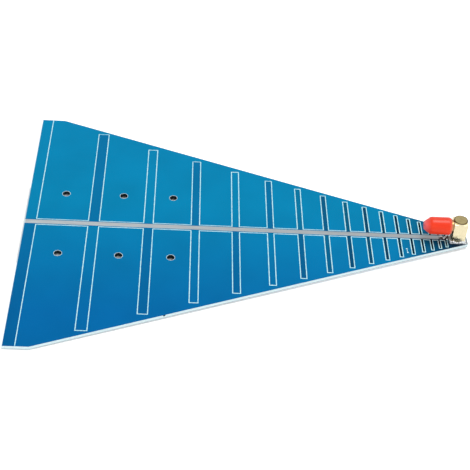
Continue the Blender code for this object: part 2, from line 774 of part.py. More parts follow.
def main():
    clear_scene()
    laminate = finish("glass_fibre_laminate", (0.74, 0.80, 0.72), 0.55)
    copper = finish("etched_copper", (0.72, 0.40, 0.25), 0.35, 1.0)
    mask = finish("blue_solder_mask", (0.0, 0.20, 0.42), 0.35)
    tin = finish("bright_tin", (0.62, 0.60, 0.60), 0.3, 1.0)
    ink = finish("white_legend_ink", (0.78, 0.90, 0.95), 0.5)
    gold = finish("gold_plated_brass", (0.90, 0.74, 0.42), 0.25, 1.0)
    white = finish("white_fluoropolymer", (0.85, 0.85, 0.83), 0.5)
    red = finish("red_polyethylene", (0.85, 0.04, 0.02), 0.4)

    make_substrate(laminate)
    make_copper(TOP, "copper_top", leg_places, [(jack_x, 0.0)], copper)
    make_copper(BOTTOM, "copper_bottom", [(jack_x, 0.0)], leg_places, copper)
    make_mask(TOP, "solder_mask_top", mask)
    make_mask(BOTTOM, "solder_mask_bottom", mask)
    make_tinning(TOP, "boom_tinning_top", tin)
    make_tinning(BOTTOM, "boom_tinning_bottom", tin)
    make_legend(TOP, LEFT, "legend_top_left", ink)
    make_legend(TOP, RIGHT, "legend_top_right", ink)
    make_legend(BOTTOM, LEFT, "legend_bottom_left", ink)
    make_legend(BOTTOM, RIGHT, "legend_bottom_right", ink)
    make_jack_body(gold)
    make_cover(gold)
    make_insulators(white)
    make_contact(gold)
    make_tail_pin(gold)
    for number, place in enumerate(leg_places, 1):
        make_solder(f"leg_solder_{number}", place, LEG_DIAMETER / 2, ring_radius, tin)
        side_x = math.copysign(1, place[0] - jack_x)
        side_y = math.copysign(1, place[1])
        make_foot_solder(f"foot_solder_{number}", side_x, side_y, tin)
    make_solder("pin_solder", (jack_x, 0.0), TAIL_PIN_DIAMETER / 2,
                FEED_NECK_WIDTH / 2 - NECK_MASK_LAP - LAYER_GAP, tin)
    make_dust_cap(red)


main()
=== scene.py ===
# %% [markdown]
# # A printed log-periodic antenna
#
# The object is a tapered circuit board. Copper arms run out from a bare boom on both faces,
# under blue lacquer, and a gold coaxial jack sits at the narrow tip with a red dust cap on
# its barrel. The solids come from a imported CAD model, which stays where it is. This script
# gives them their finishes, and replaces the jack and the cap by finer ones.

import math

import bmesh
import bpy
from mathutils import Matrix, Vector


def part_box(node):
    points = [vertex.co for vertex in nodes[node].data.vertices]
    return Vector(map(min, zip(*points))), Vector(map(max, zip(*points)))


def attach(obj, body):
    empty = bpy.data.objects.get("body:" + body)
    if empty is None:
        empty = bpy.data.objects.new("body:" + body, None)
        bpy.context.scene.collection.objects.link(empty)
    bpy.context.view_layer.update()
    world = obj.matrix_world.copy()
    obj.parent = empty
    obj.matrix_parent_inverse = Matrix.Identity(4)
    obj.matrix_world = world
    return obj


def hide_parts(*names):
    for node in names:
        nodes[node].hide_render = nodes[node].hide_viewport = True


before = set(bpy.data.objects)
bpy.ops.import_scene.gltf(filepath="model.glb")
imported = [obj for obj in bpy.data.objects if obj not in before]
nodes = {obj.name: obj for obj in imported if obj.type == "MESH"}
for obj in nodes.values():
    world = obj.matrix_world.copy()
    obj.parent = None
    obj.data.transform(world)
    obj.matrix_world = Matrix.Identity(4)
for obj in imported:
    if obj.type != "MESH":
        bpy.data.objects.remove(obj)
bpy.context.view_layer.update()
scene = bpy.context.scene
MM = 0.001

# %% [markdown]
# ## Colours and nodes
#
# Colours are read off the photograph as sRGB hex values, but a shader adds up light, so it
# needs them linear. One function does that, and another one adds a node to a material and
# fills its sockets, each with a number or with another node's output.
#
# Sockets go by the names that the editor shows. Where several share a name, as on Math nodes
# and on a Mix node for colours, they go by their place in the row. A Noise texture's scale
# counts its lumps to the metre, so 1.4 / MM means 1.4 of them to the millimetre.

# %% Colours and nodes
A, B, RESULT = 6, 7, 2  # a Mix node's two colours, and the colour that it gives


def linear(hex_colour):
    """An sRGB hex value as a linear colour with full cover."""
    channels = [int(hex_colour[start : start + 2], 16) / 255 for start in (1, 3, 5)]
    straight = [c / 12.92 if c <= 0.04045 else ((c + 0.055) / 1.055) ** 2.4 for c in channels]
    return (*straight, 1.0)


def add_node(tree, kind, inputs, **settings):
    """A new node with its settings, and with numbers or links in its inputs."""
    made = tree.nodes.new(kind)
    for name, value in settings.items():
        setattr(made, name, value)
    for key, value in inputs.items():
        if isinstance(value, bpy.types.NodeSocket):
            tree.links.new(value, made.inputs[key])
        else:
            made.inputs[key].default_value = value
    return made


def new_material(name, colour, roughness, metallic=0.0):
    """A Principled material, with its tree, its shader and its Object coordinates."""
    made = bpy.data.materials.new(name)
    made.use_nodes = True
    tree = made.node_tree
    shader = tree.nodes["Principled BSDF"]
    shader.inputs["Base Color"].default_value = linear(colour)
    shader.inputs["Roughness"].default_value = roughness
    shader.inputs["Metallic"].default_value = metallic
    place = add_node(tree, "ShaderNodeTexCoord", {}).outputs["Object"]
    return made, tree, shader, place


def dress(names, material):
    """Give solids of the frame a material in place of their own."""
    for name in names:
        nodes[name].data.materials.clear()
        nodes[name].data.materials.append(material)


print("blue as linear light:", linear("#0181AC"))

# %% [markdown]
# ## Solder mask
#
# The board is covered by blue epoxy lacquer a few hundredths of a millimetre thick, which is
# screened on and baked to a satin skin. It looks greener over pale laminate and deeper over
# copper. A picture of the tracks could tell the two apart, but the solids already step up
# over the copper, so the height of a point above the laminate's middle tells it as well. The
# blue also deepens toward the near edge.

# %% Solder mask
LAMINATE_MIDDLE = 1.9 * MM
OVER_COPPER = 0.89 * MM
lacquer, tree, shader, place = new_material("blue epoxy solder mask", "#0181AC", 0.38)
shader.inputs["Specular IOR Level"].default_value = 0.03
split = add_node(tree, "ShaderNodeSeparateXYZ", {"Vector": place})
above = add_node(
    tree, "ShaderNodeMath", {0: split.outputs["Z"], 1: LAMINATE_MIDDLE}, operation="SUBTRACT"
)
height = add_node(tree, "ShaderNodeMath", {0: above.outputs[0]}, operation="ABSOLUTE")
on_copper = add_node(
    tree, "ShaderNodeMath", {0: height.outputs[0], 1: OVER_COPPER}, operation="GREATER_THAN"
)
across = add_node(
    tree,
    "ShaderNodeMapRange",
    {"Value": split.outputs["Y"], "From Min": -55 * MM, "From Max": 15 * MM},
)
bare_blue = add_node(
    tree,
    "ShaderNodeMix",
    {"Factor": across.outputs[0], A: linear("#016AAA"), B: linear("#0286B6")},
    data_type="RGBA",
)
copper_blue = add_node(
    tree,
    "ShaderNodeMix",
    {"Factor": across.outputs[0], A: linear("#01639F"), B: linear("#0274A8")},
    data_type="RGBA",
)
coat = add_node(
    tree,
    "ShaderNodeMix",
    {
        "Factor": on_copper.outputs[0],
        A: bare_blue.outputs[RESULT],
        B: copper_blue.outputs[RESULT],
    },
    data_type="RGBA",
)
print("mask over copper starts", OVER_COPPER / MM, "mm from the laminate's middle")

# %% [markdown]
# ## Arms under the lacquer
#
# Toward the tip the lacquer looks darker and darker between the crowded outlines, first on
# the arms and then in the bays. The arms could be listed one by one, but their distances from
# the apex shrink by one ratio, so the logarithm of that distance counts them. It is a whole
# number in the middle of each arm, and how far it is from the nearest one finds them all.

# %% Arms under the lacquer
APEX = 109.9 * MM  # along X, where the lines through the arms' tips meet
FIRST_ARM = 207.5 * MM  # from the apex
RATIO = 0.86339
ARM_HALF = 0.09  # half an arm's width, as a share of the step from arm to arm
ARM_REACH = 0.36  # an arm's length, as a share of its distance from the apex
SHORT_OF_TIP = 1.3 * MM
from_apex = add_node(
    tree, "ShaderNodeMath", {0: APEX, 1: split.outputs["X"]}, operation="SUBTRACT"
)
share = add_node(
    tree, "ShaderNodeMath", {0: from_apex.outputs[0], 1: FIRST_ARM}, operation="DIVIDE"
)
count = add_node(
    tree, "ShaderNodeMath", {0: share.outputs[0], 1: RATIO}, operation="LOGARITHM"
)
off_arm = add_node(
    tree, "ShaderNodeMath", {0: count.outputs[0], 1: 0.5}, operation="PINGPONG"
)
on_arm = add_node(
    tree, "ShaderNodeMath", {0: off_arm.outputs[0], 1: ARM_HALF}, operation="LESS_THAN"
)
reach = add_node(
    tree,
    "ShaderNodeMath",
    {0: from_apex.outputs[0], 1: ARM_REACH, 2: -SHORT_OF_TIP},
    operation="MULTIPLY_ADD",
)
sideways = add_node(tree, "ShaderNodeMath", {0: split.outputs["Y"]}, operation="ABSOLUTE")
in_reach = add_node(
    tree, "ShaderNodeMath", {0: sideways.outputs[0], 1: reach.outputs[0]}, operation="LESS_THAN"
)
arm = add_node(
    tree, "ShaderNodeMath", {0: on_arm.outputs[0], 1: in_reach.outputs[0]}, operation="MULTIPLY"
)
print("an arm's half width is", round(ARM_HALF * -math.log(RATIO), 4), "of its distance")

# %% [markdown]
# ## Dark lacquer between crowded lines
#
# Each bay could have a tone of its own, but in the photograph both shades simply grow along
# the board, each over its own length. So two ramps along X do, and they are mixed over the
# blue: the bays' shade first and the arms' on top of it.

# %% Dark lacquer between crowded lines
arm_depth = add_node(
    tree,
    "ShaderNodeMapRange",
    {"Value": split.outputs["X"], "From Min": 5 * MM, "From Max": 82 * MM},
)
bay_depth = add_node(
    tree,
    "ShaderNodeMapRange",
    {"Value": split.outputs["X"], "From Min": 66 * MM, "From Max": 94 * MM},
)
arm_shade = add_node(
    tree, "ShaderNodeMath", {0: arm.outputs[0], 1: arm_depth.outputs[0]}, operation="MULTIPLY"
)
in_bays = add_node(
    tree,
    "ShaderNodeMix",
    {"Factor": bay_depth.outputs[0], A: coat.outputs[RESULT], B: linear("#08263F")},
    data_type="RGBA",
)
darkened = add_node(
    tree,
    "ShaderNodeMix",
    {"Factor": arm_shade.outputs[0], A: in_bays.outputs[RESULT], B: linear("#05121C")},
    data_type="RGBA",
)
print(len(tree.nodes), "nodes in the lacquer so far")

# %% [markdown]
# ## Unevenness of the lacquer
#
# Lacquer is never quite even: a slow noise, 22 mm wide, makes the coat a little lighter here
# and darker there. A fine bump, 0.7 mm wide, is the orange peel that it dries with. Then both
# faces of the board get the finished material.

# %% Unevenness of the lacquer
PEEL_SCALE = 1.4 / MM
uneven = add_node(
    tree, "ShaderNodeTexNoise", {"Vector": place, "Scale": 0.045 / MM, "Detail": 2.0}
)
evenness = add_node(
    tree,
    "ShaderNodeMapRange",
    {
        "Value": uneven.outputs["Fac"],
        "From Min": 0.3,
        "From Max": 0.7,
        "To Min": 0.94,
        "To Max": 1.05,
    },
)
toned = add_node(
    tree,
    "ShaderNodeMix",
    {"Factor": 1.0, A: darkened.outputs[RESULT], B: evenness.outputs[0]},
    data_type="RGBA",
    blend_type="MULTIPLY",
)
tree.links.new(toned.outputs[RESULT], shader.inputs["Base Color"])
peel = add_node(
    tree, "ShaderNodeTexNoise", {"Vector": place, "Scale": PEEL_SCALE, "Detail": 2.0}
)
bump = add_node(
    tree,
    "ShaderNodeBump",
    {"Height": peel.outputs["Fac"], "Strength": 0.5, "Distance": 0.012 * MM},
)
tree.links.new(bump.outputs["Normal"], shader.inputs["Normal"])
dress(["solder_mask_top", "solder_mask_bottom"], lacquer)
print("orange peel about", round(1 / PEEL_SCALE / MM, 2), "mm wide")

# %% [markdown]
# ## Printed outlines
#
# The lines round the arms are white epoxy ink, screened on last. Ink is matt and a little
# thin, so some of the blue shows through it. A real print's patches are as fine as its
# screen, a tenth of a millimetre, and wouldn't show, so they are drawn a millimetre wide.

# %% Printed outlines
ink, tree, shader, place = new_material("white legend ink", "#EAF7FC", 0.6)
thin = add_node(
    tree, "ShaderNodeTexNoise", {"Vector": place, "Scale": 0.9 / MM, "Detail": 3.0}
)
cover = add_node(
    tree,
    "ShaderNodeMapRange",
    {"Value": thin.outputs["Fac"], "From Min": 0.35, "From Max": 0.6},
)
printed = add_node(
    tree,
    "ShaderNodeMix",
    {"Factor": cover.outputs[0], A: linear("#AEEFFF"), B: linear("#D6FFFF")},
    data_type="RGBA",
)
tree.links.new(printed.outputs[RESULT], shader.inputs["Base Color"])
shader.inputs["Specular IOR Level"].default_value = 0.2
legends = [name for name in nodes if name.startswith("legend")]
dress(legends, ink)
print(len(legends), "printed outlines")

# %% [markdown]
# ## Tin on the boom
#
# The boom is left free of lacquer and dipped in solder, which hot air then blows level. The
# air leaves long ripples in the bright tin. They are a noise whose coordinates are squeezed
# along X, so that each ripple is 0.8 mm wide and ten times as long. The same noise makes the
# tone and the bump, so that the two agree. Toward the tip the tin is painted a little darker, a
# painted shade against the overhead lamp's brighter reflection there.

# %% Tin on the boom
RIPPLE_SCALE = 1.3 / MM
SQUEEZE = 0.1
tin, tree, shader, place = new_material("hot-air levelled tin", "#B0B6B8", 0.36, 1.0)
stretch = add_node(
    tree, "ShaderNodeMapping", {"Vector": place, "Scale": (SQUEEZE, 1.0, 1.0)}
)
ripple = add_node(
    tree,
    "ShaderNodeTexNoise",
    {"Vector": stretch.outputs["Vector"], "Scale": RIPPLE_SCALE, "Detail": 3.0},
)
tone = add_node(
    tree,
    "ShaderNodeMix",
    {"Factor": ripple.outputs["Fac"], A: linear("#959FA4"), B: linear("#C6CBCD")},
    data_type="RGBA",
)
bump = add_node(
    tree,
    "ShaderNodeBump",
    {"Height": ripple.outputs["Fac"], "Strength": 1.0, "Distance": 0.09 * MM},
)
tree.links.new(bump.outputs["Normal"], shader.inputs["Normal"])
along = add_node(tree, "ShaderNodeSeparateXYZ", {"Vector": place}).outputs["X"]
# painted shade: darker toward the tip, against the overhead lamp's reflection
tip_shade = add_node(
    tree,
    "ShaderNodeMapRange",
    {"Value": along, "From Min": -80 * MM, "From Max": 60 * MM, "To Max": 0.7},
)
tip_shaded = add_node(
    tree,
    "ShaderNodeMix",
    {"Factor": tip_shade.outputs[0], A: tone.outputs[RESULT], B: linear("#8C9194")},
    data_type="RGBA",
)
print("ripples about", round(1 / RIPPLE_SCALE / SQUEEZE / MM, 1), "mm long")

# %% [markdown]
# ## Tin round the jack
#
# Under the jack the tin has melted again when the jack was soldered. It is brighter on the pad,
# and painted dark at the board's end, a painted shade along that edge. Just before the pad it
# is spotted with flux, and the dark red spots also paint the cap's shadow and reflection on the
# tin. Each is a place along the boom, so ramps on X say where one turns into the next, and a
# noise of 1.4 mm makes the spots.

# %% Tin round the jack
at_pad = add_node(
    tree, "ShaderNodeMapRange", {"Value": along, "From Min": 91.4 * MM, "From Max": 91.9 * MM}
)
melted = add_node(
    tree,
    "ShaderNodeMix",
    {"Factor": at_pad.outputs[0], A: tip_shaded.outputs[RESULT], B: linear("#F2F6F8")},
    data_type="RGBA",
)
# painted shade: the tin darkens along the board's end edge
end_shade = add_node(
    tree, "ShaderNodeMapRange", {"Value": along, "From Min": 98.9 * MM, "From Max": 99.5 * MM}
)
end_shaded = add_node(
    tree,
    "ShaderNodeMix",
    {"Factor": end_shade.outputs[0], A: melted.outputs[RESULT], B: linear("#77797A")},
    data_type="RGBA",
)
near_pad = add_node(
    tree, "ShaderNodeMapRange", {"Value": along, "From Min": 86.6 * MM, "From Max": 87.6 * MM}
)
before_pad = add_node(
    tree, "ShaderNodeMath", {0: near_pad.outputs[0], 1: at_pad.outputs[0]}, operation="SUBTRACT"
)
spots = add_node(
    tree, "ShaderNodeTexNoise", {"Vector": place, "Scale": 0.7 / MM, "Detail": 1.0}
)
dark_spots = add_node(
    tree,
    "ShaderNodeMapRange",
    {"Value": spots.outputs["Fac"], "From Min": 0.44, "From Max": 0.5},
)
# flux spots, which also paint the cap's shadow and red reflection on the tin
flux_and_cap_shade = add_node(
    tree,
    "ShaderNodeMath",
    {0: before_pad.outputs[0], 1: dark_spots.outputs[0]},
    operation="MULTIPLY",
)
spotted_and_shaded = add_node(
    tree,
    "ShaderNodeMix",
    {"Factor": flux_and_cap_shade.outputs[0], A: end_shaded.outputs[RESULT], B: linear("#3A2A26")},
    data_type="RGBA",
)
tree.links.new(spotted_and_shaded.outputs[RESULT], shader.inputs["Base Color"])
tinned = [name for name in nodes if name.startswith("boom_tinning")]
dress(tinned, tin)
print(len(tinned), "tinned faces")

# %% [markdown]
# ## Fresh solder
#
# The joints are hand soldered. Solder freezes bright and lumpy, with specks of burnt flux between
# the lumps, and the dark specks also paint the shade in the gaps between them. The lumps could be
# modelled, but at 0.9 mm a coarse bump on a glossy metal shows them as well, and a second noise
# drops in the specks.

# %% Fresh solder
BRIGHT_SOLDER = "#F6F8F9"
solder, tree, shader, place = new_material("fresh solder", BRIGHT_SOLDER, 0.3, 1.0)
lumps = add_node(
    tree, "ShaderNodeTexNoise", {"Vector": place, "Scale": 1.1 / MM, "Detail": 2.0}
)
bump = add_node(
    tree,
    "ShaderNodeBump",
    {"Height": lumps.outputs["Fac"], "Strength": 1.0, "Distance": 0.25 * MM},
)
tree.links.new(bump.outputs["Normal"], shader.inputs["Normal"])
flux = add_node(
    tree, "ShaderNodeTexNoise", {"Vector": place, "Scale": 1.5 / MM, "Detail": 1.0}
)
# flux specks, which also paint the shade in the gaps between lumps
speck = add_node(
    tree,
    "ShaderNodeMapRange",
    {"Value": flux.outputs["Fac"], "From Min": 0.61, "From Max": 0.67},
)
specked_and_shaded = add_node(
    tree,
    "ShaderNodeMix",
    {"Factor": speck.outputs[0], A: linear(BRIGHT_SOLDER), B: linear("#2E2822")},
    data_type="RGBA",
)
tree.links.new(specked_and_shaded.outputs[RESULT], shader.inputs["Base Color"])
soldered = [n for n in nodes if n.startswith(("leg_solder", "foot_solder", "pin_solder"))]
dress(soldered, solder)
print(len(soldered), "solder joints")

# %% [markdown]
# ## Sawn edge of the board
#
# The board's edge is sawn glass fibre: pale and matt, with the layers of cloth showing as fine
# lines. They could be cut as grooves, but the real edge is flush, so a Wave texture in bands
# along Z draws them. At a scale of one it repeats every pi / 10 metres, so its scale follows
# from the thickness of a layer. The foot of the edge gets less light and is darker, by its
# height.

# %% Sawn edge of the board
CLOTH_LAYER = 0.2244 * MM
sawn, tree, shader, place = new_material("sawn glass-fibre laminate", "#E6F2EE", 0.62)
layers = add_node(
    tree,
    "ShaderNodeTexWave",
    {
        "Vector": place,
        "Scale": math.pi / 10 / CLOTH_LAYER,
        "Distortion": 1.5,
        "Detail": 2.0,
        "Detail Scale": 0.3,
    },
    bands_direction="Z",
)
cloth = add_node(
    tree,
    "ShaderNodeMix",
    {"Factor": layers.outputs["Fac"], A: linear("#D4EAEF"), B: linear("#E8FBFF")},
    data_type="RGBA",
)
edge_height = add_node(tree, "ShaderNodeSeparateXYZ", {"Vector": place}).outputs["Z"]
foot = add_node(
    tree,
    "ShaderNodeMapRange",
    {"Value": edge_height, "From Min": 1.2 * MM, "From Max": 1.9 * MM, "To Min": 0.72},
)
footed = add_node(
    tree,
    "ShaderNodeMix",
    {"Factor": 1.0, A: cloth.outputs[RESULT], B: foot.outputs[0]},
    data_type="RGBA",
    blend_type="MULTIPLY",
)
print("cloth scale", round(layers.inputs["Scale"].default_value))

# %% [markdown]
# ## A nick in the edge
#
# The near edge has one small nick, a millimetre wide. It is too shallow to be worth cutting,
# so a dab of dark colour, a painted shade for the dent, marks it by the distance from its middle.

# %% A nick in the edge
nick = Vector((-35.6, -54.85, 2.6)) * MM
off_nick = add_node(tree, "ShaderNodeVectorMath", {0: place, 1: nick}, operation="DISTANCE")
in_nick = add_node(
    tree,
    "ShaderNodeMapRange",
    {"Value": off_nick.outputs["Value"], "From Min": 0.6 * MM, "From Max": 0.45 * MM},
)
# painted shade: the dent is drawn as a dark dab
nick_shaded = add_node(
    tree,
    "ShaderNodeMix",
    {"Factor": in_nick.outputs[0], A: footed.outputs[RESULT], B: linear("#0A2F3C")},
    data_type="RGBA",
)
tree.links.new(nick_shaded.outputs[RESULT], shader.inputs["Base Color"])
dress(["board_substrate"], sawn)
print("nick at", [round(value / MM, 1) for value in nick], "mm")

# %% [markdown]
# ## Hole walls and copper
#
# The walls of the drilled holes are painted nearly black, a painted shade for the inside of the
# holes. They belong to the same solid, so its upright faces inside the board's outline get a
# second material, which is simpler than a piece of their own. Copper shows only as the edge of a
# ring or two, and is a plain warm metal there.

# %% Hole walls and copper
INSIDE_X = 98 * MM
INSIDE_Y = 25 * MM
# painted shade: the hole walls are coloured dark
hole_wall_shade = new_material("hole walls in painted shade", "#12242C", 0.7)[0]
board = nodes["board_substrate"].data
board.materials.append(hole_wall_shade)
shaded_wall_faces = 0
for face in board.polygons:
    inside = abs(face.center.x) < INSIDE_X and abs(face.center.y) < INSIDE_Y
    if abs(face.normal.z) < 0.1 and inside:
        face.material_index = 1
        shaded_wall_faces += 1

copper = new_material("etched copper", "#C88A66", 0.35, 1.0)[0]
dress(["copper_top", "copper_bottom"], copper)
print(shaded_wall_faces, "faces of hole wall")

# %% [markdown]
# ## Gold plate
#
# The jack is turned and milled from brass, then plated with gold, which gives it a pale warm
# gloss. Fine tool marks survive the plating, so the roughness varies a little and a faint bump
# follows them. Real marks are a twentieth of a millimetre apart, too fine to show, so they are
# drawn 0.4 mm apart. The thread, which the cap covers, gets a darker plate: a painted shade for
# the dark gap between the cap and the block. One function makes both plates.

# %% Gold plate
MARK_SCALE = 2.6 / MM
GOLD = "#F8ECC6"


def new_plate(name, colour):
    """Plated metal with fine tool marks: its material, tree, shader and coordinates."""
    made, tree, shader, place = new_material(name, colour, 0.24, 1.0)
    marks = add_node(
        tree, "ShaderNodeTexNoise", {"Vector": place, "Scale": MARK_SCALE, "Detail": 3.0}
    )
    worn = add_node(
        tree,
        "ShaderNodeMapRange",
        {
            "Value": marks.outputs["Fac"],
            "From Min": 0.3,
            "From Max": 0.7,
            "To Min": 0.16,
            "To Max": 0.34,
        },
    )
    tree.links.new(worn.outputs[0], shader.inputs["Roughness"])
    bump = add_node(
        tree,
        "ShaderNodeBump",
        {"Height": marks.outputs["Fac"], "Strength": 1.0, "Distance": 0.006 * MM},
    )
    tree.links.new(bump.outputs["Normal"], shader.inputs["Normal"])
    return made, tree, shader, place


gold = new_plate("gold-plated brass", GOLD)[0]
# painted shade: the thread is darker for the gap between cap and block
shaded_thread_gold = new_plate("brass thread in painted shade", "#C4A070")[0]
dress(["centre_contact", "tail_pin"], gold)
print("tool marks drawn", round(1 / MARK_SCALE / MM, 2), "mm apart")

# %% [markdown]
# ## Flux blots at the foot of the block
#
# Soldering has left brown flux on the block. The first of two masks is for the blots low down
# at the corner next to the boom: it is the product of a ramp on height, a ramp along the boom
# and a noise of 0.8 mm.

# %% Flux blots at the foot of the block
BLOCK = 6.35 * MM
body_low, body_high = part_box("jack_body")
jack_x = body_high.x - BLOCK / 2
block_face = jack_x - BLOCK / 2
stained_and_shaded_gold, tree, shader, place = new_plate("gold plate with flux stains and painted shade", GOLD)
split = add_node(tree, "ShaderNodeSeparateXYZ", {"Vector": place})
low_down = add_node(
    tree,
    "ShaderNodeMapRange",
    {"Value": split.outputs["Z"], "From Min": 7.6 * MM, "From Max": 5.2 * MM},
)
near_boom = add_node(
    tree,
    "ShaderNodeMapRange",
    {
        "Value": split.outputs["X"],
        "From Min": block_face + 5 * MM,
        "From Max": block_face + 1 * MM,
    },
)
corner = add_node(
    tree, "ShaderNodeMath", {0: low_down.outputs[0], 1: near_boom.outputs[0]}, operation="MULTIPLY"
)
blots = add_node(
    tree, "ShaderNodeTexNoise", {"Vector": place, "Scale": 1.3 / MM, "Detail": 1.0}
)
blotted = add_node(
    tree,
    "ShaderNodeMapRange",
    {"Value": blots.outputs["Fac"], "From Min": 0.5, "From Max": 0.58},
)
foot_stain = add_node(
    tree, "ShaderNodeMath", {0: corner.outputs[0], 1: blotted.outputs[0]}, operation="MULTIPLY"
)
print("block between", round(block_face / MM, 2), "and", round(body_high.x / MM, 2), "mm")

# %% [markdown]
# ## Painted shade on the block's face
#
# The second mask is painted shade on the face that looks at the cap, which lies in the cap's
# shadow and shows its dark red in the gold. It follows the distance from that face. A noise of
# 2.4 mm, less a share of the height, breaks it into patches toward the top of the block. The
# stronger of the two masks browns the gold.

# %% Painted shade on the block's face
SHADE_FADE = 6 * MM
# painted shade: the face toward the cap is darkened brown
at_face = add_node(
    tree,
    "ShaderNodeMapRange",
    {
        "Value": split.outputs["X"],
        "From Min": block_face + 0.3 * MM,
        "From Max": block_face + 0.1 * MM,
        "To Max": 0.9,
    },
)
patch_noise = add_node(
    tree, "ShaderNodeTexNoise", {"Vector": place, "Scale": 0.42 / MM, "Detail": 1.0}
)
fading_up = add_node(
    tree,
    "ShaderNodeMath",
    {0: split.outputs["Z"], 1: -1 / SHADE_FADE, 2: 1.7},
    operation="MULTIPLY_ADD",
)
patchy = add_node(
    tree, "ShaderNodeMath", {0: patch_noise.outputs["Fac"], 1: fading_up.outputs[0]}, operation="ADD"
)
patches = add_node(
    tree,
    "ShaderNodeMapRange",
    {"Value": patchy.outputs[0], "From Min": 0.6, "From Max": 0.75},
)
cap_shade = add_node(
    tree, "ShaderNodeMath", {0: at_face.outputs[0], 1: patches.outputs[0]}, operation="MULTIPLY"
)
# the flux blots and the painted shade, whichever is stronger
stain_and_shade = add_node(
    tree, "ShaderNodeMath", {0: foot_stain.outputs[0], 1: cap_shade.outputs[0]}, operation="MAXIMUM"
)
browned = add_node(
    tree,
    "ShaderNodeMix",
    {"Factor": stain_and_shade.outputs[0], A: linear(GOLD), B: linear("#6B5230")},
    data_type="RGBA",
)
tree.links.new(browned.outputs[RESULT], shader.inputs["Base Color"])
print(len(tree.nodes), "nodes in the stained gold")

# %% [markdown]
# ## Brass disc
#
# The disc pressed into the top of the block is bare brass, dull and mottled in patches of a
# millimetre. A dark ring at its rim is painted shade along the seam with the block, drawn by the
# distance from the disc's middle. The side of the disc is bright like the gold, so it gets that as
# a second material.

# %% Brass disc
disc_low, disc_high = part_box("jack_cover_disc")
disc_top = Vector((jack_x, 0.0, disc_high.z))
brass, tree, shader, place = new_material("dull brass disc", "#AE9E6E", 0.3, 1.0)
lathe = add_node(
    tree, "ShaderNodeTexNoise", {"Vector": place, "Scale": 0.9 / MM, "Detail": 3.0}
)
mottled = add_node(
    tree,
    "ShaderNodeMix",
    {"Factor": lathe.outputs["Fac"], A: linear("#8B7D54"), B: linear("#BAAA7D")},
    data_type="RGBA",
)
outward = add_node(tree, "ShaderNodeVectorMath", {0: place, 1: disc_top}, operation="SUBTRACT")
radius = add_node(tree, "ShaderNodeVectorMath", {0: outward.outputs[0]}, operation="LENGTH")
# painted shade: a dark ring round the disc's rim
rim_shade = add_node(
    tree,
    "ShaderNodeMapRange",
    {"Value": radius.outputs["Value"], "From Min": 2.65 * MM, "From Max": 2.8 * MM},
)
rim_shaded = add_node(
    tree,
    "ShaderNodeMix",
    {"Factor": rim_shade.outputs[0], A: mottled.outputs[RESULT], B: linear("#574823")},
    data_type="RGBA",
)
tree.links.new(rim_shaded.outputs[RESULT], shader.inputs["Base Color"])
dress(["jack_cover_disc"], brass)
disc_mesh = nodes["jack_cover_disc"].data
disc_mesh.materials.append(gold)
for face in disc_mesh.polygons:
    face.material_index = 0 if face.normal.z > 0.3 else 1
print("disc", round((disc_high.x - disc_low.x) / MM, 2), "mm across")

# %% [markdown]
# ## White insulators
#
# The sleeves in the jack are turned from waxy white fluoropolymer. A plain white would look
# like chalk. Light enters this plastic a little way before it comes back, and the shader's
# subsurface light does just that.

# %% White insulators
LIGHT_DEPTH = 0.8 * MM
sleeve, tree, shader, place = new_material("white fluoropolymer", "#F1F1EE", 0.45)
shader.inputs["Subsurface Weight"].default_value = 0.3
shader.inputs["Subsurface Scale"].default_value = LIGHT_DEPTH
dress(["barrel_insulator", "tail_insulator"], sleeve)
print("light goes", round(LIGHT_DEPTH / MM, 2), "mm into a sleeve")

# %% [markdown]
# ## Boxes, spins and pieces
#
# Three helpers make the new pieces. Milled parts are cubes stretched to size with bevelled
# edges. Turned parts are a profile spun round an axis, as a lathe does. The same spin with an
# advance at each step makes a helix, which is open at both ends until its holes are filled.
# The last helper turns a finished bmesh into an object that rides on a body.

# %% Boxes, spins and pieces
SHARP = 30  # an edge that turns by more degrees than this stays crisp


def add_box(bm, low, high, bevel):
    """A box with rounded edges."""
    size = Vector(high) - Vector(low)
    middle = Matrix.Translation((Vector(high) + Vector(low)) / 2)
    made = bmesh.ops.create_cube(bm, size=1.0, matrix=middle @ Matrix.Diagonal((*size, 1.0)))
    edges = list({edge for corner in made["verts"] for edge in corner.link_edges})
    bmesh.ops.bevel(
        bm, geom=edges, offset=bevel, segments=3, profile=0.5, affect="EDGES", material=-1
    )


def add_spin(bm, profile, centre, axis, steps, turns=1.0, advance=0.0):
    """(radius, distance) pairs turned about an axis, with an advance along it per turn."""
    centre = Vector(centre)
    axis = Vector(axis)
    out = axis.orthogonal().normalized()
    corners = [bm.verts.new(centre + out * r + axis * d) for r, d in profile]
    edges = [bm.edges.new(pair) for pair in zip(corners, corners[1:] + corners[:1])]
    bmesh.ops.spin(
        bm,
        geom=corners + edges,
        cent=centre,
        axis=axis,
        dvec=axis * (advance / steps),
        angle=2 * math.pi * turns,
        steps=round(steps * turns),
        use_merge=advance == 0.0,
    )
    bmesh.ops.holes_fill(bm, edges=[edge for edge in bm.edges if edge.is_boundary])


def add_piece(name, bm, material, body, sharp=SHARP):
    """The bmesh as an object at the origin that rides on a body."""
    bmesh.ops.recalc_face_normals(bm, faces=bm.faces)
    mesh = bpy.data.meshes.new(name)
    bm.to_mesh(mesh)
    bm.free()
    mesh.materials.append(material)
    mesh.shade_smooth()
    mesh.set_sharp_from_angle(angle=math.radians(sharp))
    piece = bpy.data.objects.new(name, mesh)
    scene.collection.objects.link(piece)
    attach(piece, body)
    return piece


print("edges sharp from", SHARP, "degrees")

# %% [markdown]
# ## The jack's block
#
# The block is brass, a quarter of an inch square, and its softened edges catch the light as
# the CAD's sharp ones can't. It stands over the pad on four square feet, and four round legs go
# through the board. The feet and legs go a little way into the block, so that no gap shows.

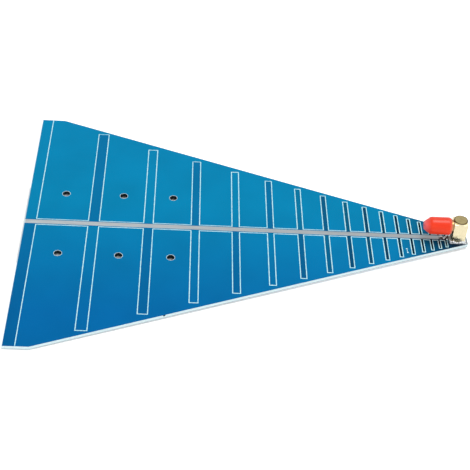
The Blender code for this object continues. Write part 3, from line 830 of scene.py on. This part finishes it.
# %% The jack's block
STANDOFF = 1.2 * MM
SLEEVE_ABOVE_PAD = 1.23 * MM
FOOT_HALF = 0.8 * MM
FOOT_INSET = 0.82 * MM
FOOT_HIGH = 1.6 * MM
BLOCK_EDGE = 0.4 * MM
FOOT_EDGE = 0.1 * MM
LEG_OUT = 2.54 * MM
LEG_TIP = 0.3 * MM
LEG_RADIUS = 0.5 * MM
LEG_TAPER = 0.25 * MM
LEG_LONG = 3.4 * MM
LEG_STEPS = 32
seat_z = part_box("tail_insulator")[0].z - SLEEVE_ABOVE_PAD
half = BLOCK / 2
leg_profile = [
    (LEG_TIP, 0.0),
    (LEG_RADIUS, LEG_TAPER),
    (LEG_RADIUS, LEG_LONG),
    (LEG_TIP, LEG_LONG),
]

bm = bmesh.new()
block_low = (block_face, -half, seat_z + STANDOFF)
block_high = (body_high.x, half, body_high.z)
add_box(bm, block_low, block_high, BLOCK_EDGE)
for side_x in (-1, 1):
    for side_y in (-1, 1):
        foot_out = half - FOOT_INSET
        corner = Vector((jack_x + side_x * foot_out, side_y * foot_out, 0.0))
        add_box(
            bm,
            corner + Vector((-FOOT_HALF, -FOOT_HALF, seat_z)),
            corner + Vector((FOOT_HALF, FOOT_HALF, seat_z + FOOT_HIGH)),
            FOOT_EDGE,
        )
        leg = (jack_x + side_x * LEG_OUT, side_y * LEG_OUT, 0.0)
        add_spin(bm, leg_profile, leg, (0, 0, 1), LEG_STEPS)
block = add_piece("jack_block", bm, stained_and_shaded_gold, "antenna")
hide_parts("jack_body")
print("block", round(BLOCK / MM, 2), "mm square on a seat at", round(seat_z / MM, 2), "mm")

# %% [markdown]
# ## The jack's barrel and its thread
#
# On the real jack the barrel carries a 1/4-36 thread: 36 turns to the inch on a quarter inch.
# A bump could only pretend to it at the outline. One turned profile can't make a helix, so the
# barrel is spun once round its axis at the thread's root, and the ridge is a second spin of a
# small tooth that also moves along the axis with each step.

# %% The jack's barrel and its thread
PITCH = 25.4 / 36 * MM
THREAD_DEPTH = 0.43 * MM
TOOTH_SUNK = 0.05 * MM
BORE = 2.05 * MM
MOUTH = 2.3 * MM
MOUTH_DEEP = 1.9 * MM
CHAMFER = 0.1 * MM
INTO_BLOCK = 0.5 * MM
ROUND_STEPS = 96
THREAD_STEPS = 64  # for each turn
axis_z = body_high.z - 3.275 * MM
barrel_length = block_face - body_low.x
crest = 3.175 * MM
root = crest - THREAD_DEPTH
barrel = [
    (BORE, -INTO_BLOCK),
    (BORE, barrel_length - MOUTH_DEEP),
    (MOUTH, barrel_length - MOUTH_DEEP),
    (MOUTH, barrel_length - CHAMFER),
    (MOUTH + CHAMFER, barrel_length),
    (root - 0.08 * MM, barrel_length),
    (root, barrel_length - CHAMFER),
    (root, -INTO_BLOCK),
]
start = 1.5 * MM
tooth = [
    (root - TOOTH_SUNK, start - PITCH * 0.45),
    (crest, start - PITCH * 0.07),
    (crest, start + PITCH * 0.07),
    (root - TOOTH_SUNK, start + PITCH * 0.45),
]
turns = (barrel_length - start - 0.55 * MM) / PITCH
whole_steps = round(turns * THREAD_STEPS) / THREAD_STEPS

bm = bmesh.new()
barrel_foot = (block_face, 0.0, axis_z)
add_spin(bm, barrel, barrel_foot, (-1, 0, 0), ROUND_STEPS)
add_spin(bm, tooth, barrel_foot, (-1, 0, 0), THREAD_STEPS, whole_steps, PITCH)
add_piece("jack_barrel_threaded", bm, shaded_thread_gold, "antenna")
print(round(turns, 1), "turns of thread on a barrel", round(barrel_length / MM, 1), "mm long")

# %% [markdown]
# ## Beads of solder round the jack
#
# Hand soldering leaves bright, lumpy beads along the jack's feet, and a little solder creeps
# back over the end of the boom. They could be sculpted, but beads that overlap read as one
# run, so each is a small sphere pressed flat and half sunk in the pad.

# %% Beads of solder round the jack
BEAD_SHARP = 60
SIDE_LONG = 0.62 * MM
SIDE_WIDE = 0.46 * MM
SIDE_OUT = 0.2 * MM
pad_z = seat_z - 0.03 * MM
side_beads = [  # distance from the block's face along the boom, and height, in mm
    (0.1, 1.2),
    (1.1, 1.35),
    (2.1, 0.9),
    (3.2, 0.75),
    (4.3, 1.0),
    (5.4, 1.5),
    (6.4, 1.1),
]
boom_beads = [  # distance before the block's face, across the boom, long, wide, high, in mm
    (4.0, 0.9, 1.0, 0.3, 0.2),
    (0.2, 2.6, 0.45, 0.4, 0.9),
    (0.7, 1.9, 0.5, 0.35, 0.5),
    (1.3, 1.1, 0.5, 0.35, 0.4),
    (2.0, 0.3, 0.5, 0.35, 0.3),
    (2.7, -0.6, 0.45, 0.3, 0.25),
    (1.3, -1.1, 0.5, 0.3, 0.3),
    (0.2, -2.4, 0.45, 0.45, 0.9),
]


def add_bead(bm, middle, size):
    """A sphere pressed to half sizes along X, Y and Z."""
    squash = Matrix.Translation(middle) @ Matrix.Diagonal((*size, 1.0))
    bmesh.ops.create_icosphere(bm, subdivisions=3, radius=1.0, matrix=squash)


bm = bmesh.new()
for side in (-1, 1):
    for step, high in side_beads:
        middle = (block_face + step * MM, side * (half + SIDE_OUT), pad_z)
        add_bead(bm, middle, (SIDE_LONG, SIDE_WIDE, high * MM))
for step, across_boom, long, wide, high in boom_beads:
    middle = (block_face - step * MM, across_boom * MM, pad_z)
    add_bead(bm, middle, (long * MM, wide * MM, high * MM))
add_piece("solder_beads", bm, solder, "antenna", sharp=BEAD_SHARP)
print(2 * len(side_beads) + len(boom_beads), "beads of solder")

# %% [markdown]
# ## A speck of ink
#
# In one bay near the tip two stray drops of legend ink lie on the lacquer, joined by a thin
# smear. They are printed by accident and thinner than a hair, so three very flat beads do.

# %% A speck of ink
ink_drops = [  # along the board, across it, long, wide, high, in mm
    (71.45, -8.3, 0.4, 0.3, 0.03),
    (71.55, -9.5, 0.12, 1.1, 0.02),
    (71.65, -10.7, 0.34, 0.42, 0.03),
]
ink_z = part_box("legend_top_left")[0].z - 0.01 * MM
bm = bmesh.new()
for x, y, long, wide, high in ink_drops:
    add_bead(bm, (x * MM, y * MM, ink_z), (long * MM, wide * MM, high * MM))
add_piece("ink_speck", bm, ink, "antenna", sharp=BEAD_SHARP)
print("speck of ink at", round(ink_z / MM, 2), "mm")

# %% [markdown]
# ## Red plastic
#
# The cap is moulded in soft red polyethylene. Light enters this plastic a little, which keeps
# its shaded side from going dark. It is painted paler on the nose, a painted reflection of the
# white surround, and at the rim, a painted highlight on the lip; both are ramps along the cap. A
# faint bump of 0.6 mm is the skin of the mould.

# %% Red plastic
RED = "#F53A12"
cap_low, cap_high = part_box("dust_cap")
cap_plastic, tree, shader, place = new_material("red polyethylene", RED, 0.3)
shader.inputs["Specular IOR Level"].default_value = 0.35
shader.inputs["Subsurface Weight"].default_value = 0.25
shader.inputs["Subsurface Scale"].default_value = 1.2 * MM
shader.inputs["Subsurface Radius"].default_value = (1.0, 0.25, 0.15)
along = add_node(tree, "ShaderNodeSeparateXYZ", {"Vector": place}).outputs["X"]
# painted reflection: the nose turns paler
nose = add_node(
    tree,
    "ShaderNodeMapRange",
    {"Value": along, "From Min": cap_low.x + 2.8 * MM, "From Max": cap_low.x},
)
nose_reflected = add_node(
    tree,
    "ShaderNodeMix",
    {"Factor": nose.outputs[0], A: linear(RED), B: linear("#F56E70")},
    data_type="RGBA",
)
# painted highlight: the rim turns paler
rim_highlight = add_node(
    tree,
    "ShaderNodeMapRange",
    {"Value": along, "From Min": cap_high.x - 1.3 * MM, "From Max": cap_high.x},
)
rim_lit = add_node(
    tree,
    "ShaderNodeMix",
    {"Factor": rim_highlight.outputs[0], A: nose_reflected.outputs[RESULT], B: linear("#DC7C62")},
    data_type="RGBA",
)
tree.links.new(rim_lit.outputs[RESULT], shader.inputs["Base Color"])
skin = add_node(
    tree, "ShaderNodeTexNoise", {"Vector": place, "Scale": 1.6 / MM, "Detail": 2.0}
)
bump = add_node(
    tree,
    "ShaderNodeBump",
    {"Height": skin.outputs["Fac"], "Strength": 1.0, "Distance": 0.01 * MM},
)
tree.links.new(bump.outputs["Normal"], shader.inputs["Normal"])
print("cap between", round(cap_low.x / MM, 2), "and", round(cap_high.x / MM, 2), "mm")

# %% [markdown]
# ## The dust cap
#
# The cap is a thin tube with a blunt, tapered end. It is turned like a lathe part: a profile
# with a rounded corner at each change of slope, spun once. A bevel could round the corners
# after the spin, but each of them has its own softness, which is simpler to give here. Each
# corner is a radius, a distance from the rim and a softness.


# %% The dust cap
def rounded(corners, radius, steps=5):
    """The profile with each soft corner replaced by a short curve."""
    points = []
    for index, (r, d, soft) in enumerate(corners):
        if not soft:
            points.append((r, d))
            continue
        here = Vector((r, d))
        before = Vector(corners[index - 1][:2])
        after = Vector(corners[(index + 1) % len(corners)][:2])
        start = here + (before - here).normalized() * radius * soft
        end = here + (after - here).normalized() * radius * soft
        for step in range(steps + 1):
            t = step / steps
            point = start * (1 - t) ** 2 + here * 2 * t * (1 - t) + end * t**2
            points.append((point.x, point.y))
    return points


CORNER_RADIUS = 0.5 * MM
length = cap_high.x - cap_low.x
outer = (cap_high.z - cap_low.z) / 2
inner = 3.275 * MM
tube = length - 2.9 * MM
centre_hole = 0.02 * MM
corners = [
    (centre_hole, tube, 0),
    (2.6 * MM, tube, 1),
    (inner, tube - 0.7 * MM, 0.5),
    (inner, 0.0, 0.3),
    (outer - 0.45 * MM, 0.0, 0.5),
    (outer, 1.0 * MM, 1.2),
    (outer, tube - 0.2 * MM, 1.6),
    (1.75 * MM, length, 1.6),
    (centre_hole, length, 0),
]
bm = bmesh.new()
cap_mouth = (cap_high.x, 0.0, axis_z)
add_spin(bm, rounded(corners, CORNER_RADIUS), cap_mouth, (-1, 0, 0), ROUND_STEPS)
cap = add_piece("dust_cap_moulded", bm, cap_plastic, "cap")
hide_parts("dust_cap")
print("cap", round(length / MM, 2), "mm long,", round(2 * outer / MM, 2), "mm across")

# %% [markdown]
# ## White paper
#
# The photograph is a shop picture: the antenna lies on matt white paper. Lamps alone would
# leave a wide grey shadow, so an ambient occlusion node tells how open the paper is to the
# light, and only what is nearly closed turns dark. That is the contact line under the edge,
# which fades toward the tip, where the board stands clear of the paper.

# %% White paper
PAPER_WHITE = "#FDFDFD"
paper, tree, shader, place = new_material("white paper floor", PAPER_WHITE, 0.9)
shader.inputs["Specular IOR Level"].default_value = 0.0
openness = add_node(tree, "ShaderNodeAmbientOcclusion", {"Distance": 3 * MM}, samples=8)
split = add_node(tree, "ShaderNodeSeparateXYZ", {"Vector": place})
darkest = add_node(
    tree,
    "ShaderNodeMapRange",
    {
        "Value": split.outputs["X"],
        "From Min": -80 * MM,
        "From Max": 60 * MM,
        "To Min": 0.62,
    },
)
contact = add_node(
    tree,
    "ShaderNodeMapRange",
    {
        "Value": openness.outputs["AO"],
        "From Min": 0.2,
        "From Max": 0.85,
        "To Min": darkest.outputs[0],
    },
)
print("contact shade within", round(openness.inputs["Distance"].default_value / MM), "mm")

# %% [markdown]
# ## Paper under the holes
#
# Through the fixing holes the paper looks darker still. They all lie near the boom in the wide
# half of the board, so there a stronger shade takes over. The same shade dims the little light
# that the paper sends to the camera, so that the white stays white and the shadows stay.

# %% Paper under the holes
WIDE_HALF = -20 * MM
hollow = add_node(
    tree,
    "ShaderNodeMapRange",
    {"Value": openness.outputs["AO"], "From Min": 0.25, "From Max": 0.9},
)
wide_end = add_node(
    tree, "ShaderNodeMath", {0: split.outputs["X"], 1: WIDE_HALF}, operation="LESS_THAN"
)
from_boom = add_node(tree, "ShaderNodeMath", {0: split.outputs["Y"]}, operation="ABSOLUTE")
by_boom = add_node(
    tree, "ShaderNodeMath", {0: from_boom.outputs[0], 1: INSIDE_Y}, operation="LESS_THAN"
)
at_holes = add_node(
    tree, "ShaderNodeMath", {0: wide_end.outputs[0], 1: by_boom.outputs[0]}, operation="MULTIPLY"
)
shade = add_node(
    tree,
    "ShaderNodeMix",
    {"Factor": at_holes.outputs[0], "A": contact.outputs[0], "B": hollow.outputs[0]},
)
shaded = add_node(
    tree,
    "ShaderNodeMix",
    {"Factor": shade.outputs["Result"], A: linear("#1C3038"), B: linear(PAPER_WHITE)},
    data_type="RGBA",
)
tree.links.new(shaded.outputs[RESULT], shader.inputs["Base Color"])
rays = add_node(tree, "ShaderNodeLightPath", {})
seen = add_node(
    tree, "ShaderNodeMath", {0: rays.outputs["Is Camera Ray"], 1: 0.4}, operation="MULTIPLY"
)
lift = add_node(
    tree, "ShaderNodeMath", {0: seen.outputs[0], 1: shade.outputs["Result"]}, operation="MULTIPLY"
)
shader.inputs["Emission Color"].default_value = (1.0, 1.0, 1.0, 1.0)
tree.links.new(lift.outputs[0], shader.inputs["Emission Strength"])
print(len(tree.nodes), "nodes in the paper")

# %% [markdown]
# ## How the antenna lies
#
# The jack's legs reach a millimetre below the laminate, so the antenna rests on them and on
# its wide end. The model could be tilted to lie so, but it has to stay where the CAD has it,
# so the floor is turned by that third of a degree instead.

# %% How the antenna lies
FLOOR_HALF = 3.0  # metres
leg_x = jack_x - (LEG_OUT + LEG_TIP)
board_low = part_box("solder_mask_bottom")[0]
tilt = math.atan2(board_low.z, leg_x - board_low.x)
lie = Matrix.Translation((leg_x, 0, 0)) @ Matrix.Rotation(tilt, 4, "Y")
bm = bmesh.new()
bmesh.ops.create_grid(bm, x_segments=1, y_segments=1, size=FLOOR_HALF, matrix=lie)
mesh = bpy.data.meshes.new("floor")
bm.to_mesh(mesh)
bm.free()
mesh.materials.append(paper)
floor = bpy.data.objects.new("floor", mesh)
scene.collection.objects.link(floor)
print("floor turned by", round(math.degrees(tilt), 2), "degrees")

# %% [markdown]
# ## Lamps
#
# The light in the photograph is soft and nearly without shadow, as in a tent. Two large square
# lamps do that, one above and one low in front, each turned to look at the origin. The front
# one is kept out of reflections, where its square would show.


# %% Lamps
def add_lamp(name, place, size, power):
    """A square area lamp that looks at the origin."""
    lamp = bpy.data.lights.new(name, "AREA")
    lamp.size = size
    lamp.energy = power
    made = bpy.data.objects.new(name, lamp)
    made.location = place
    made.rotation_euler = (-Vector(place)).to_track_quat("-Z", "Y").to_euler()
    scene.collection.objects.link(made)
    return made


overhead = add_lamp("overhead", (0.3, 0.2, 1.2), 0.6, 6.9)
front = add_lamp("front", (-0.35, -1.2, 0.45), 0.9, 6.0)
front.visible_glossy = False
print("lamps of", overhead.data.energy, "and", front.data.energy, "watts")

# %% [markdown]
# ## Surround
#
# A grey surround fills in the shadows. It is white where the camera, a reflection or glass
# sees it, so the bare metal looks as bright as it does in a white studio without more light
# falling on the board.

# %% Surround
world = bpy.data.worlds.new("surround")
scene.world = world
world.use_nodes = True
tree = world.node_tree
tree.nodes.clear()
rays = add_node(tree, "ShaderNodeLightPath", {})
grey = add_node(
    tree, "ShaderNodeBackground", {"Color": (1.0, 1.0, 1.0, 1.0), "Strength": 0.5}
)
white = add_node(
    tree, "ShaderNodeBackground", {"Color": (1.0, 1.0, 1.0, 1.0), "Strength": 1.0}
)
seen = add_node(
    tree,
    "ShaderNodeMath",
    {0: rays.outputs["Is Camera Ray"], 1: rays.outputs["Is Glossy Ray"]},
    operation="MAXIMUM",
)
seen_through = add_node(
    tree,
    "ShaderNodeMath",
    {0: seen.outputs[0], 1: rays.outputs["Is Transmission Ray"]},
    operation="MAXIMUM",
)
chosen = add_node(
    tree,
    "ShaderNodeMixShader",
    {0: seen_through.outputs[0], 1: grey.outputs[0], 2: white.outputs[0]},
)
add_node(tree, "ShaderNodeOutputWorld", {"Surface": chosen.outputs[0]})
scene.view_settings.view_transform = "Standard"  # colours come out as they are written
print("surround of", grey.inputs["Strength"].default_value, "shown as white")

# %% [markdown]
# ## Camera
#
# The camera's place, turn and focal length were solved from the grid of arms in the
# photograph. It looks down at the board from the front, and its long lens keeps the far arms
# nearly as large as the near ones. The three columns of the turn are the camera's right, up
# and back.

# %% Camera
SENSOR = 36  # mm
PHOTO_WIDTH = 470  # pixels
FOCAL_LENGTH = 1170.9  # pixels
lens = bpy.data.cameras.new("camera")
lens.sensor_width = SENSOR
lens.lens = SENSOR * FOCAL_LENGTH / PHOTO_WIDTH
camera = bpy.data.objects.new("camera", lens)
right = Vector((0.9980186, -0.00902408, 0.06226914))
up = Vector((-0.03981832, 0.67569028, 0.73610947))
back = Vector((-0.04871736, -0.73713039, 0.67399213))
turn = Matrix((right, up, back)).transposed().to_4x4()
camera.matrix_world = Matrix.Translation((-0.03135, -0.39093, 0.35676)) @ turn
scene.collection.objects.link(camera)
scene.camera = camera
print("camera", [round(value, 3) for value in camera.location], "m")
